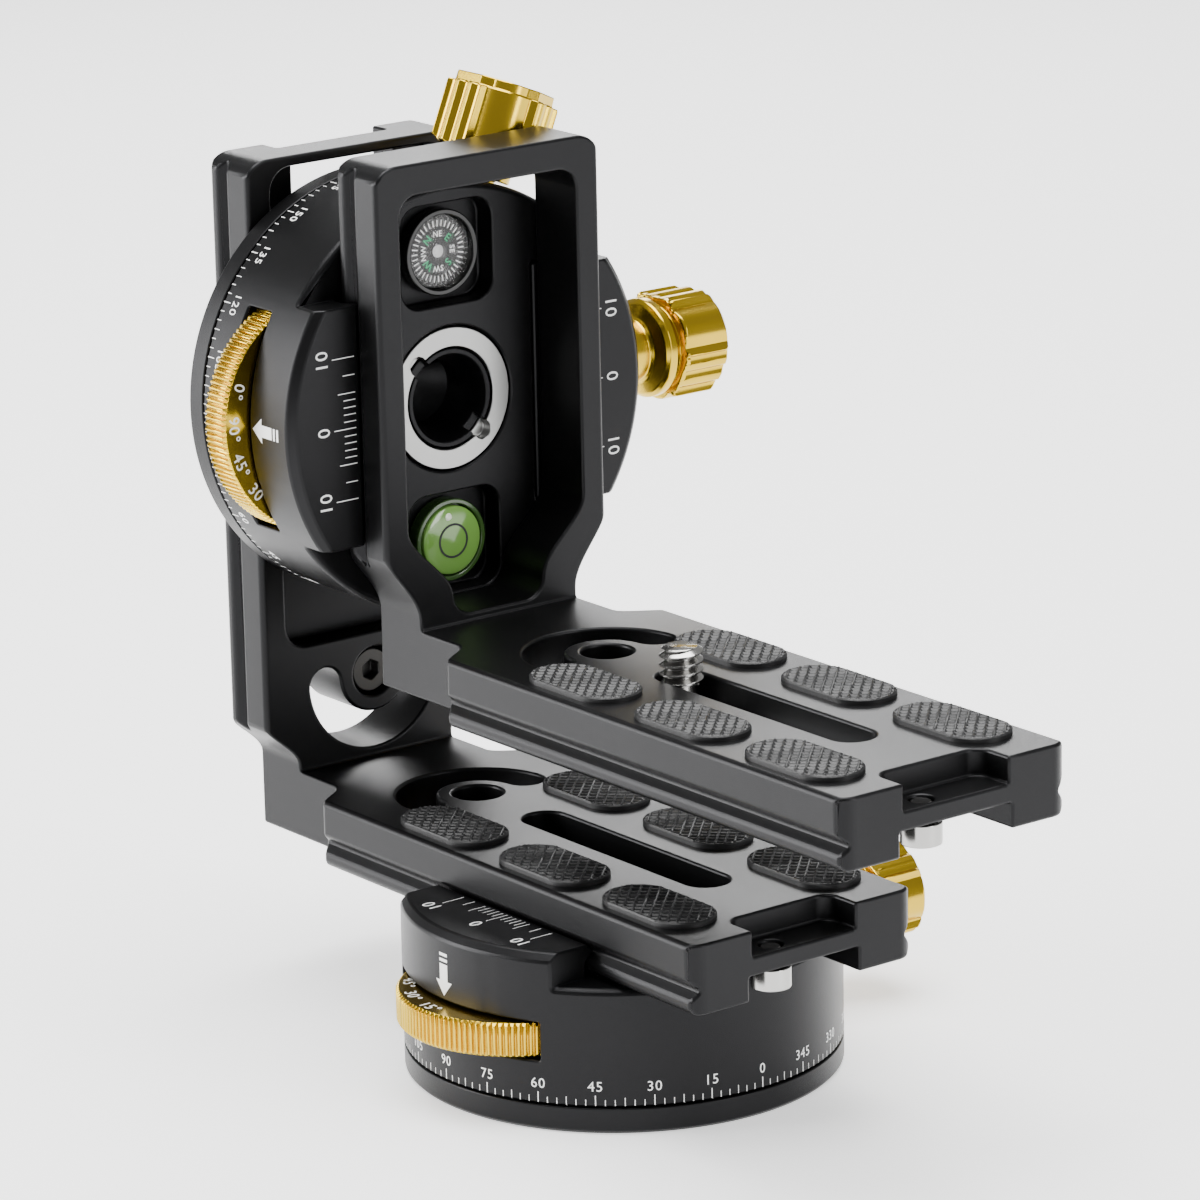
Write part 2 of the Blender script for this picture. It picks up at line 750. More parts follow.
@dataclass
class Bracket:
    """An L-bracket with its deck arm, its upright arm, its pads and its screws."""

    prefix: str
    body: str
    node: str
    bar: Dovetail = field(default_factory=Dovetail)
    length: float = 97.0
    slot_width: float = 6.6
    slot_start: float = 37.1
    slot_end: float = 79.4
    notch_width: float = 17.6
    notch_length: float = 5.8
    notch_depth: float = 3.65
    notch_fillet: float = 2.2
    pad_pitch: float = 23.0
    pad_first: float = 35.8
    pad_rows: float = 24.8
    pad_gap: float = 0.1
    limit_end: float = 2.9
    limit_offset: float = 3.5
    limit_hole: float = 1.7
    limit_head: float = 3.0

    @property
    def limit_place(self) -> Point:
        """Where the stop screw is on the deck."""
        return self.length - self.limit_end, -self.limit_offset

    def piece(self, name: str, solid: Solid, finish: Finish, node: str, at: Point = (0, 0)) -> Piece:
        """A piece of this bracket.

        Args:
            name: its name.
            solid: its shape in the deck's frame.
            finish: its surface.
            node: the CAD node that it stands for.
            at: how far along and across the deck it is moved.

        Returns:
            The piece.
        """
        low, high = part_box(self.node)
        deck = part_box(f"{self.prefix}_pad_1")[0][2] - self.pad_gap * MM
        corner = Vector((high[0] - self.length * MM, (low[1] + high[1]) / 2, deck))
        place = Matrix.Translation(corner) @ Matrix.Scale(MM, 4) @ Matrix.Translation((*at, 0))
        body = "camera_bolt" if node == "camera_screw" else self.body
        return Piece(name, solid, place, finish, body).stands_for(node)

    def arm(self, plan: ArmPlan, eye: Eye | None = None) -> Solid:
        """A straight arm along X with its section, plan, channel and, if it has one, its eye."""
        low = -self.bar.thickness
        shadow = Solid.prism(plan.outline(self.bar), low - OVERRUN, OVERRUN)
        body = Solid.prism(self.bar.outline(), low, plan.end).along_x().keep(shadow)
        if not eye:
            return body
        half = self.bar.channel / 2
        channel = Solid.block((plan.shoulder_end, plan.end + OVERRUN), (-half, half),
                              (low - OVERRUN, -self.bar.web))
        reach = eye.crescent + eye.margin
        side = Solid.block((-2 * reach, eye.boss), (-2 * reach, 2 * reach), (low, 0))
        filling = Solid.bar(reach, low, -self.bar.web + OVERRUN).keep(side).moved(x=eye.distance)
        return body.cut(channel).join(filling.keep(shadow)).cut(
            eye.crescent_tool(low), eye.drill(eye.hole, -eye.hole_depth),
            eye.drill(eye.bore, low - OVERRUN))

    def deck(self) -> Solid:
        """The deck arm with its slot, its notch and its stop screw's hole."""
        plan = ArmPlan(self.length, shoulder_start=8.5, shoulder_end=14.5, corner=3.0)
        low = -self.bar.thickness
        long = self.slot_end - self.slot_start
        slot = rounded_box(long, self.slot_width, self.slot_width / 2 - SLIM)
        notch = rounded_box(2 * self.notch_length, self.notch_width, self.notch_fillet)
        return self.arm(plan, Eye(distance=24.4, crescent=11.6)).cut(
            Solid.prism(slot, low - OVERRUN, OVERRUN).moved(x=self.slot_start + long / 2),
            Solid.prism(notch, -self.notch_depth, OVERRUN).moved(x=self.length),
            Solid.bar(self.limit_hole, low, OVERRUN, SMALL_SIDES).moved(*self.limit_place))

    def upright(self) -> Solid:
        """The upright arm, laid along X with its deck up."""
        raise NotImplementedError

    def build_frame(self) -> None:
        """Builds the bracket itself as one piece."""
        stood = self.upright().placed(DECK_TO_UPRIGHT)
        piece = self.piece(f"{self.prefix}_bracket_body", self.deck().join(stood), BLACK, self.node)
        piece.edged(0.38, segments=3, least=0.18)

    def build_pads(self) -> None:
        """Builds the six pads from one moulded shape."""
        shape = PadMould().shape()
        columns = [self.pad_first + k * self.pad_pitch for k in range(3)]
        places = [(x, side * self.pad_rows / 2) for side in (-1, 1) for x in columns]
        for number, place in enumerate(places, 1):
            name = f"{self.prefix}_deck_pad_{number}"
            self.piece(name, shape, RUBBER, f"{self.prefix}_pad_{number}", place).smooth(24)

    def build_limit_screw(self) -> None:
        """Builds the little stop screw that hangs under the free end."""
        top = -self.bar.web - LAP
        foot = top - self.limit_head
        screw = SocketScrew(head=2.75, head_span=(foot, top), shank=1.4,
                            shank_span=(top - LAP, -self.notch_depth - GAP),
                            socket=1.25, socket_span=(foot - OVERRUN, foot + 1.4)).shape()
        self.piece(f"{self.prefix}_stop_screw", screw, STEEL, f"{self.prefix}_limit_screw",
                   self.limit_place).edged(0.15)

    def build(self) -> None:
        """Builds every piece of the bracket."""
        self.build_frame()
        self.build_pads()
        self.build_limit_screw()


@dataclass
class LowerBracket(Bracket):
    """The bracket in the pan clamp, whose upright carries the tilting rotator."""

    height: float = 89.5
    eye: float = 12.5
    eye_seat: float = -3.9
    recess_start: float = 18.5
    recess_depth: float = 3.65
    recess_corner: float = 3.5
    top_bar: float = 1.5
    border: float = 4.0
    window_height: float = 11.0
    window_width: float = 17.6
    axis: float = 56.6
    boss: float = 13.0
    hole: float = 4.9
    head_seat: float = 6.8
    head_height: float = 4.2

    def upright(self) -> Solid:
        """The upright, with its recess, its window, its eye and the tilting rotator's boss."""
        low = -self.bar.thickness
        plan = ArmPlan(self.height, shoulder_start=1.0, shoulder_end=8.5, corner=4.2)
        top = self.height - self.top_bar
        long = top - self.recess_start
        recess = rounded_box(long, self.bar.width - 2 * self.border, self.recess_corner)
        half = self.window_width / 2
        window = Solid.block((top - self.window_height, top), (-half, half), (low - OVERRUN, OVERRUN))
        boss = Solid.bar(self.boss, -self.bar.web, 0)
        hole = Solid.bar(self.hole, low - OVERRUN, OVERRUN, SMALL_SIDES)
        seat = Solid.bar(self.head_seat, low - OVERRUN, low + self.head_height + GAP)
        return self.arm(plan, Eye(distance=self.eye, crescent=11.2)).cut(
            Solid.prism(recess, -self.recess_depth, OVERRUN).moved(x=self.recess_start + long / 2),
            window).join(boss.moved(x=self.axis)).cut(hole.moved(x=self.axis), seat.moved(x=self.axis))

    def build(self) -> None:
        """Builds every piece of the lower bracket."""
        super().build()
        low = -self.bar.thickness
        seat = self.eye_seat
        eye_screw = SocketScrew(head=3.2, head_span=(seat, seat + 3.0), shank=2.0,
                                shank_span=(low + GAP, seat + LAP), socket=1.5,
                                socket_span=(seat + 1.2, OVERRUN)).shape()
        mount_screw = SocketScrew(head=6.5, head_span=(low, low + self.head_height), shank=4.6,
                                  shank_span=(low, 8.0), socket=2.7, socket_span=(low - OVERRUN, low + 2.4),
                                  sides=FINE_SIDES).shape()
        self.piece("upright_socket_screw", eye_screw.moved(x=self.eye).placed(DECK_TO_UPRIGHT), DARK_STEEL,
                   "upright_eye_screw").edged(0.2)
        self.piece("tilt_fixing_screw", mount_screw.moved(x=self.axis).placed(DECK_TO_UPRIGHT), STEEL,
                   "tilt_mount_screw").edged(0.25)


@dataclass
class UpperBracket(Bracket):
    """The bracket in the tilting clamp, whose deck carries the camera."""

    height: float = 65.6
    border: float = 4.0
    top_border: float = 4.4
    window_start: float = 1.2
    window_shoulder: float = 14.6
    window_neck: float = 15.4
    window_radius: float = 3.0
    screw_place: float = 3.6
    screw_radius: float = 3.0
    screw_span: Point = (-1.0, 4.3)
    screw_tip: float = 0.5
    neck_radius: float = 2.2
    neck_top: float = 0.2
    head_radius: float = 7.2
    head_height: float = 2.4
    coin_slot: float = 0.7
    coin_slot_depth: float = 1.2
    thread_pitch: float = 1.27
    thread_depth_share: float = 0.62
    thread_shares: tuple[float, ...] = (0.0, 0.12, 0.45, 0.6, 1.0)
    thread_steps: int = 40

    def window(self) -> list[Point]:
        """The upright's window, which follows the arm's own outline."""
        neck = self.window_neck / 2
        full = self.bar.width / 2 - self.border
        top = self.height - self.top_border
        radius = self.window_radius
        start = self.window_start + radius
        half = arc((start, -neck + radius), radius, 180, 270, steps=8)
        half += s_curve((start, -neck), (self.window_shoulder, -full))[1:]
        half += arc((top - radius, -full + radius), radius, -90, 0, steps=8)
        return mirrored(half)

    def upright(self) -> Solid:
        """The open upright frame."""
        arm = self.arm(ArmPlan(self.height, shoulder_start=1.5, shoulder_end=13.1, corner=4.2))
        return arm.cut(Solid.prism(self.window(), -self.bar.thickness - OVERRUN, OVERRUN))

    def threaded_shank(self) -> Solid:
        """A shank with a real helical thread, cut flat at both ends."""
        low, high = self.screw_span
        pitch = self.thread_pitch
        crest = self.screw_radius
        root = crest - self.thread_depth_share * pitch
        turns = math.ceil((high - low) / pitch) + 2
        steps = self.thread_steps
        work = bmesh.new()
        profile = zip((root, root, crest, crest, root), self.thread_shares)
        verts = [work.verts.new((radius, 0, low - pitch + pitch * share)) for radius, share in profile]
        edges = [work.edges.new(pair) for pair in zip(verts, verts[1:])]
        bmesh.ops.spin(work, geom=verts + edges, cent=(0, 0, 0), axis=(0, 0, 1), dvec=(0, 0, pitch / steps),
                       angle=math.tau * turns, steps=steps * turns, use_merge=False, use_duplicate=False)
        bmesh.ops.remove_doubles(work, verts=work.verts, dist=COARSE_MERGE)
        bmesh.ops.holes_fill(work, edges=[edge for edge in work.edges if edge.is_boundary], sides=0)
        bmesh.ops.triangulate(work, faces=[face for face in work.faces if len(face.verts) > 4])
        tip = [(0, low), (crest, low), (crest, high - self.screw_tip), (root, high), (0, high)]
        return Solid.of(work, FINE_MERGE).keep(Solid.turned(tip, SMALL_SIDES))

    def build(self) -> None:
        """Builds every piece of the upper bracket."""
        super().build()
        top = -self.bar.web - GAP
        foot = top - self.head_height
        reach = self.head_radius + OVERRUN
        slot = Solid.block((-reach, reach), (-self.coin_slot, self.coin_slot),
                           (foot - OVERRUN, foot + self.coin_slot_depth))
        neck = Solid.bar(self.neck_radius, top - LAP, self.neck_top, SMALL_SIDES)
        screw = Solid.bar(self.head_radius, foot, top).cut(slot).join(neck, self.threaded_shank())
        self.piece("camera_fixing_screw", screw, STEEL, "camera_screw",
                   (self.slot_start + self.screw_place, 0)).smooth(38)


@dataclass
class RotatorSizes:
    """The rotator's sizes, as heights above its foot and radii from its axis."""

    radius: float = 30.4
    chamfer: float = 0.6
    chamfer_cone: Point = (1.0, 3.0)
    chamfer_tool: Point = (0.9, 2.5)
    base_top: float = 3.7
    channel: Point = (12.4, 29.0)
    channel_floor: float = 1.9
    seam: float = 4.0
    floor: float = 20.45
    jaw_top: float = 25.0
    jaw_chamfer: float = 1.1
    jaw_half: float = 17.0
    jaw_bottom: float = 9.0
    jaw_root: float = 14.6
    jaw_lead: float = 0.2
    jaw_ease_share: float = 1.4
    spindle: float = 7.0
    bore: float = 4.9
    funnel: float = 6.3
    funnel_depth: float = 3.6
    flange: float = 11.0
    flange_height: float = 2.0
    nut: float = 10.1
    nut_height: float = 2.7
    slot_width: float = 2.6
    slot_reach: float = 8.9
    slot_depth: float = 1.6
    slot_turn: float = 45.0
    clamp_height: float = 14.3
    clamp_screw: float = 2.4
    lock_height: float = 12.1
    lock_turn: float = 157.5
    lock_screw: float = 2.4
    pocket_depth: float = 3.4
    pocket_width: float = 15.6
    pocket_start: float = 13.4
    pocket_length: float = 14.4
    pocket_corner: float = 3.0
    dial_radius: float = 17.0
    dial_lip: float = 0.05
    dial_edge: float = 0.45
    dial_pivot: float = 17.6
    dial_bottom: float = 10.2
    dial_top: float = 15.0
    dial_post: float = 2.5
    plunger_bore: float = 2.2
    plunger_place: float = 12.0
    plunger_roof: float = 14.2
    window_chord: float = 31.0
    wall: float = 1.4
    step_turn: float = 20.0
    knurl_pitch: float = 0.82
    knurl: tuple[Point, ...] = ((0.0, 0.0), (0.3, 0.0), (0.5, 0.42), (0.66, 0.5), (0.82, 0.42))

    @property
    def pocket_centre(self) -> float:
        """How far a pocket's centre is from the axis."""
        return self.pocket_start + self.pocket_length / 2

    @property
    def pocket_floor(self) -> float:
        """The height of a pocket's floor."""
        return self.floor - self.pocket_depth

    @property
    def nut_top(self) -> float:
        """The height of the ring nut's top."""
        return self.floor - SEAM


@dataclass
class KnobStyle:
    """The outline that all four knobs share: three lobes with fluted flats between.

    The profiles give a radius and a distance from the rotator's axis.
    """

    lobe_reach: float = 8.0
    lobe_radius: float = 4.2
    lobe_turn: float = 48.0
    flat_reach: float = 7.25
    flute_radius: float = 0.95
    flute_depth: float = 0.68
    flute_pitch: float = 2.9
    flute_steps: int = 8
    clamp_grip: tuple[Point, ...] = ((0, 40.7), (7.7, 40.7), (8.3, 41.3), (8.3, 47.4), (7.7, 48.2),
                                     (5.5, 49.6), (5.2, 49.9), (0, 49.9))
    clamp_core: tuple[Point, ...] = ((0, 30.8), (4.4, 30.8), (4.4, 36.6), (4.9, 37.1), (6.6, 37.6),
                                     (7.2, 38.2), (7.2, 39.5), (6.2, 39.7), (6.2, 42.0), (0, 42.0))
    clamp_rim: float = 0.8
    clamp_rim_inset: float = 0.12
    clamp_bore_start: float = 28.0
    lock_grip: tuple[Point, ...] = ((0, 33.2), (5.6, 33.2), (8.3, 35.0), (8.3, 42.6), (8.0, 43.0),
                                    (0, 43.0))
    lock_cap: Point = (41.0, 44.4)
    lock_cap_inset: float = 0.75
    lock_neck: Point = (30.8, 36.0)
    lock_neck_radius: float = 4.4
    lock_screw: Point = (14.0, 34.0)

    def flat(self, turn: float, reach: float, fluted: bool) -> list[Point]:
        """One flat, with its three flutes or without.

        Args:
            turn: the way that the flat faces, in degrees.
            reach: how far it is from the knob's axis.
            fluted: whether it has its flutes.

        Returns:
            Its points, anticlockwise.
        """
        pitch = self.flute_pitch
        line = [(-pitch, 0.0), (pitch, 0.0)]
        if fluted:
            shares = [k / self.flute_steps for k in range(self.flute_steps + 1)]
            line = [(flute * pitch + (2 * share - 1) * self.flute_radius,
                     self.flute_depth * math.sin(share * math.pi))
                    for flute in (-1, 0, 1) for share in shares]
        out = polar(1, turn)
        return [((reach - deep) * out[0] - across * out[1], (reach - deep) * out[1] + across * out[0])
                for across, deep in line]

    def outline(self, inset: float = 0.0, fluted: bool = True) -> list[Point]:
        """The outline, drawn in by an inset."""
        points: list[Point] = []
        for turn in (0, 120, 240):
            middle = polar(self.lobe_reach - self.lobe_radius, turn)
            points += arc(middle, self.lobe_radius - inset, turn - self.lobe_turn, turn + self.lobe_turn, 16)
            points += self.flat(turn + 60, self.flat_reach - inset, fluted)
        return points

    def clamp_knob(self, screw: float) -> Solid:
        """The clamp's knob along Z, with the hole for its screw."""
        low = self.clamp_grip[0][1]
        rim = Solid.prism(self.outline(self.clamp_rim_inset, False), low, low + self.clamp_rim)
        grip = Solid.prism(self.outline(), low, self.clamp_grip[-1][1]).join(rim)
        bore = Solid.bar(screw + GAP, self.clamp_bore_start, low, SMALL_SIDES)
        return grip.keep(Solid.turned(self.clamp_grip)).join(Solid.turned(self.clamp_core)).cut(bore)

    def lock_knob(self, screw: float) -> Solid:
        """The turning lock's knob along Z, with its screw."""
        grip = Solid.prism(self.outline(), self.lock_grip[0][1], self.lock_grip[-1][1])
        cap = Solid.prism(self.outline(self.lock_cap_inset, False), *self.lock_cap)
        neck = Solid.bar(self.lock_neck_radius, *self.lock_neck)
        return grip.keep(Solid.turned(self.lock_grip)).join(
            cap, neck, Solid.bar(screw, *self.lock_screw, SMALL_SIDES))


@dataclass
class Inset:
    """A cup in a pocket with a domed body in it. Heights are above the cup's foot."""

    cup: float
    cup_inside: float
    rim: float
    cup_floor: float
    dome: float
    dome_start: float
    dome_rise: float
    dome_steps: int

    def cup_shape(self, low: float) -> Solid:
        """The cup, standing at a height."""
        profile = [(0, 0), (self.cup, 0), (self.cup, self.rim), (self.cup_inside, self.rim),
                   (self.cup_inside, self.cup_floor), (0, self.cup_floor)]
        return Solid.turned(raised(profile, low))

    def dome_shape(self, low: float) -> Solid:
        """The domed body, in the cup that stands at a height."""
        turns = [math.pi / 2 * k / self.dome_steps for k in range(1, self.dome_steps)]
        profile = [(0, self.dome_start), (self.dome, self.dome_start), (self.dome, self.rim)]
        profile += [(self.dome * math.cos(t), self.rim + self.dome_rise * math.sin(t)) for t in turns]
        return Solid.turned(raised(profile + [(0, self.rim + self.dome_rise)], low))


@dataclass
class CompassSizes:
    """The compass' own sizes. Card heights are above the foot of its cup."""

    inset: Inset = field(default_factory=lambda: Inset(
        cup=6.1, cup_inside=5.3, rim=2.0, cup_floor=0.7,
        dome=5.0, dome_start=1.0, dome_rise=1.2, dome_steps=14))
    card: float = 4.9
    card_span: Point = (0.72, 0.9)
    tick_width: float = 0.17
    tick_span: Point = (3.5, 4.4)
    ticks: int = 36
    letter_reach: float = 2.4
    letter_bold: float = 0.02
    letter_sizes: Point = (1.15, 0.85)
    north: float = 135.0
    hub: tuple[Point, ...] = ((0, -0.1), (0.95, -0.1), (0.9, 0.04), (0.35, 0.08), (0, 0.09))


@dataclass
class LevelSizes:
    """The round level's own sizes. The ring and the bubble are below the vial's top."""

    inset: Inset = field(default_factory=lambda: Inset(
        cup=5.9, cup_inside=5.2, rim=2.2, cup_floor=0.6,
        dome=4.9, dome_start=0.9, dome_rise=0.5, dome_steps=12))
    ring: tuple[Point, ...] = ((2.18, -0.16), (2.5, -0.16), (2.5, -0.02), (2.18, -0.02))
    bubble: tuple[Point, ...] = ((0, -0.3), (0.85, -0.3), (0.75, -0.12), (0.45, -0.02), (0, 0))
    bubble_sink: float = 0.1
    drift_level: Point = (0.5, 0.3)
    drift_turned: Point = (-3.3, -0.6)


@dataclass
class MarkSizes:
    """The sizes and places of the printed marks."""

    scale_steps: int = 144
    scale_numbered: int = 6
    scale_longer: int = 3
    scale_lengths: Place = (1.45, 1.15, 0.85)
    scale_widths: Point = (0.14, 0.11)
    scale_rise: float = 0.12
    scale_text: float = 1.45
    scale_text_rise: float = 2.75
    arrow: tuple[Point, ...] = ((0, 16.0), (1.75, 18.1), (0.85, 18.1), (0.85, 20.5), (-0.85, 20.5),
                                (-0.85, 18.1), (-1.75, 18.1))
    arrow_tails: Point = (20.85, 21.65)
    arrow_tail: float = 0.42
    arrow_half: float = 0.85
    ruler: tuple[Point, ...] = ((0, 3.65), (1, 1.95), (2, 1.95), (3, 1.95), (4, 1.95), (5, 2.85),
                                (7.5, 1.95), (10, 3.65))
    ruler_width: float = 0.12
    ruler_start: float = 19.45
    ruler_text: float = 2.05
    ruler_text_place: float = 24.7
    ruler_bold: float = 0.004
    dial_texts: tuple[str, ...] = ("0°", "90°", "45°", "30°", "15°")
    dial_text: float = 1.75
    dial_bold: float = 0.012


@dataclass
class Rotator:
    """An indexing rotator with its clamp, dial, knobs, compass and level."""

    prefix: str
    base_body: str
    step: int
    turned: bool
    size: RotatorSizes = field(default_factory=RotatorSizes)
    knob: KnobStyle = field(default_factory=KnobStyle)
    compass: CompassSizes = field(default_factory=CompassSizes)
    level: LevelSizes = field(default_factory=LevelSizes)
    marks: MarkSizes = field(default_factory=MarkSizes)

    def place(self) -> Matrix:
        """From the rotator's frame in millimetres to the head's in metres."""
        low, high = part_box(f"{self.prefix}_base")
        origin = (low + high) / 2
        if self.turned:
            origin.x = low.x
            turn = Matrix.Rotation(math.pi / 2, 4, "Y")
        else:
            origin.z = low.z
            turn = Matrix.Identity(4)
        return Matrix.Translation(origin) @ turn @ Matrix.Scale(MM, 4)

    def piece(self, name: str, solid: Solid, finish: Finish, node: str = "", part: str = "head") -> Piece:
        """A piece of this rotator.

        Args:
            name: its name, without the rotator's.
            solid: its shape in the rotator's frame.
            finish: its surface.
            node: the CAD node that it stands for, if any, without the rotator's name.
            part: the rotator's body that it moves with, or base for the one that stays.

        Returns:
            The piece.
        """
        body = self.base_body if part == "base" else f"{self.prefix}_{part}"
        made = Piece(f"{self.prefix}_{name}", solid, self.place(), finish, body)
        return made.stands_for(f"{self.prefix}_{node}") if node else made

    def build_base(self) -> None:
        """Builds the fixed foot ring, the spindle and the ring nut."""
        s = self.size
        inner, outer = s.channel
        hole = s.spindle + GAP
        foot = [(s.flange + GAP, 0), (s.radius - s.chamfer, 0), (s.radius, s.chamfer), (s.radius, s.base_top),
                (outer, s.base_top), (outer, s.channel_floor), (inner, s.channel_floor), (inner, s.base_top),
                (hole, s.base_top), (hole, s.flange_height + GAP), (s.flange + GAP, s.flange_height + GAP)]
        ring = Solid.turned(foot, DRUM_SIDES, closed=True)
        self.piece("foot_ring", ring, BLACK, "base", "base").edged(0.16)
        top = s.floor - GAP
        tube = [(s.bore, 0), (s.flange, 0), (s.flange, s.flange_height), (s.spindle, s.flange_height),
                (s.spindle, top), (s.funnel, top), (s.bore, top - s.funnel_depth)]
        spindle = Solid.turned(tube, closed=True).cut(*self.spanner_slots())
        self.piece("hollow_spindle", spindle, BLACK, "spindle", "base").edged(0.12, least=0.12)
        low = s.nut_top - s.nut_height
        nut = Solid.turned([(hole, low), (s.nut, low), (s.nut, s.nut_top), (hole, s.nut_top)], closed=True)
        nut = nut.cut(*self.spanner_slots())
        self.piece("spanner_nut", nut, NICKEL, "ring_nut", "base").edged(0.14, least=0.18)

    def spanner_slots(self) -> list[Solid]:
        """The two slots for a spanner across the spindle's rim and its nut, as cutting tools."""
        s = self.size
        half = s.slot_width / 2
        outline = arc((s.slot_reach - half, 0), half, -90, 90)
        outline += [(s.bore - half, half), (s.bore - half, -half)]
        slot = Solid.prism(outline, s.nut_top - s.slot_depth, s.nut_top + OVERRUN)
        return [slot.spun(s.slot_turn), slot.spun(s.slot_turn + 180)]

    def jaw_face(self) -> list[Point]:
        """The clamping face on the +Y side, from its top down: how far out, and how high."""
        s = self.size
        bar = Dovetail()
        deck = s.floor + GAP + bar.thickness
        clear = GAP * s.jaw_ease_share
        lip = bar.lip_width / 2 + clear
        return [(bar.width / 2 + GAP / 2 - s.jaw_lead, s.jaw_top + s.jaw_lead),
                (bar.nose_width / 2 + clear, deck - bar.nose - SEAM), (lip, deck - bar.lip - SEAM),
                (lip, s.floor)]

    def round_blank(self, low: float) -> Solid:
        """The drum's full round form from a height up to the jaws' chamfered top."""
        s = self.size
        return Solid.turned([(0, low), (s.radius, low), (s.radius, s.jaw_top - s.jaw_chamfer),
                             (s.radius - s.jaw_chamfer, s.jaw_top), (0, s.jaw_top)], DRUM_SIDES)

    def dial_hollow(self) -> Solid:
        """The hollow that the dial swings in, open to the drum's side."""
        s = self.size
        low = s.dial_bottom - GAP
        high = s.dial_top + GAP
        through = (low - OVERRUN, high + OVERRUN)
        swept = Solid.bar(s.dial_radius + GAP, low, high, DRUM_SIDES).moved(y=-s.dial_pivot)
        hub = Solid.bar(s.spindle + GAP + s.wall, *through)
        post = Solid.bar(s.dial_post - GAP, *through).moved(y=-s.dial_pivot)
        half = s.window_chord / 2
        window = Solid.block((-half, half), (-s.radius - OVERRUN, -s.dial_pivot), (low, high))
        return swept.cut(hub, post).join(window.cut(Solid.bar(s.radius - 3 * s.wall, *through)))

    def pocket(self, side: int) -> Solid:
        """One of the two pockets in the clamp's floor, as a cutting tool."""
        s = self.size
        outline = rounded_box(s.pocket_length, s.pocket_width, s.pocket_corner)
        return Solid.prism(outline, s.pocket_floor, s.floor + OVERRUN).moved(x=side * s.pocket_centre)

    def rim_chamfers(self) -> list[Solid]:
        """The chamfers of the floor's rim beside the jaws, as cutting tools."""
        s = self.size
        low = s.floor - s.chamfer
        below, above = s.chamfer_cone
        cone = Solid.turned([(0, low - below), (s.radius + below, low - below),
                             (s.radius - above, low + above), (0, low + above)], DRUM_SIDES)
        reach = s.radius + OVERRUN
        below, above = s.chamfer_tool
        tool = Solid.block((s.jaw_half, reach), (-reach, reach), (low - below, low + above)).cut(cone)
        return [tool, tool.spun(180)]

    def build_drum(self) -> None:
        """Builds the turning drum with its fixed jaw, its pockets and the dial's window."""
        s = self.size
        reach = s.radius + OVERRUN
        top = s.jaw_top + OVERRUN
        face = [(-y, z) for y, z in self.jaw_face()]
        clearing = Solid.prism([(face[0][0], top), *face, (reach, s.floor), (reach, top)], -reach, reach)
        side = Solid.block((s.jaw_half, reach), (-reach, 0), (s.floor, top))
        other = side.placed(Matrix.Scale(-1, 4, (1, 0, 0)))
        bed = s.jaw_half + GAP
        lock = Solid.bar(s.lock_screw + GAP, 0, reach, SMALL_SIDES).along_y()
        body = self.round_blank(s.seam).cut(
            clearing.along_x(), side, other, *self.rim_chamfers(),
            Solid.bar(s.spindle + GAP, 0, s.jaw_top),
            Solid.bar(s.nut + GAP, s.nut_top - s.nut_height - GAP, s.jaw_top),
            Solid.block((-bed, bed), (s.jaw_root - GAP, reach), (s.jaw_bottom - GAP, s.floor + OVERRUN)),
            lock.moved(z=s.lock_height).spun(s.lock_turn - 90),
            self.dial_hollow(), self.pocket(-1), self.pocket(1))
        self.piece("drum", body, BLACK, "body").edged(0.28, least=0.3)

    def build_jaw(self) -> None:
        """Builds the sliding jaw."""
        s = self.size
        reach = s.radius + OVERRUN
        top = s.jaw_top + OVERRUN
        low = s.jaw_bottom - OVERRUN / 2
        face = self.jaw_face()
        section = [(face[0][0], top), *face, (s.jaw_root, s.floor), (s.jaw_root, low), (reach, low),
                   (reach, top)]
        hole = Solid.bar(s.clamp_screw + GAP, 0, reach, SMALL_SIDES).along_y().moved(z=s.clamp_height)
        held = Solid.prism(section, -s.jaw_half, s.jaw_half).along_x()
        jaw = self.round_blank(s.jaw_bottom).keep(held).cut(hole)
        self.piece("sliding_jaw", jaw, BLACK, "clamp_jaw", "jaw").edged(0.28, least=0.24)

    def build_dial(self) -> None:
        """Builds the knurled dial with its small hub and its printed angles."""
        s = self.size
        m = self.marks
        bite = math.degrees(math.asin((s.spindle + 2 * GAP + s.wall) / s.dial_pivot))
        half = 180 - 2 * s.step_turn - bite - s.knurl_pitch
        teeth = round(2 * math.radians(half) * s.dial_radius / s.knurl_pitch)
        points = [polar(s.dial_radius - depth, -half + 2 * half * (k + along) / teeth - 90)
                  for k in range(teeth) for along, depth in s.knurl]
        hub = s.dial_pivot - s.spindle - 2 * GAP - s.wall
        points += arc((0, 0), hub, half - 90, 270 - half, steps=20)
        bottom = s.dial_bottom
        top = s.dial_top
        rim = s.dial_radius + s.dial_lip
        flat = s.dial_radius - s.dial_edge
        shield = Solid.turned([(0, bottom), (flat, bottom), (rim, bottom + s.dial_edge),
                               (rim, top - s.dial_edge), (flat, top), (0, top)], DRUM_SIDES)
        post = Solid.bar(s.dial_post, bottom - OVERRUN, top + OVERRUN)
        bore = Solid.bar(s.plunger_bore, bottom - OVERRUN, s.plunger_roof, SMALL_SIDES)
        dial = Solid.prism(points, bottom, top).keep(shield).cut(post, bore.moved(x=s.plunger_place))
        dial = dial.spun((2 - self.step) * s.step_turn).moved(y=-s.dial_pivot)
        self.piece("knurled_dial", dial, GOLD, "index_dial", "dial").edged(0.05, segments=1, angle=24)
        marks = []
        for index, text in enumerate(m.dial_texts):
            mark = lettering(text, m.dial_text, m.dial_bold).moved(y=-s.dial_radius + m.dial_text, z=top)
            marks.append(mark.spun((index - self.step) * s.step_turn).moved(y=-s.dial_pivot))
        self.piece("dial_marks", gathered(marks), DIAL_PRINT, part="dial")

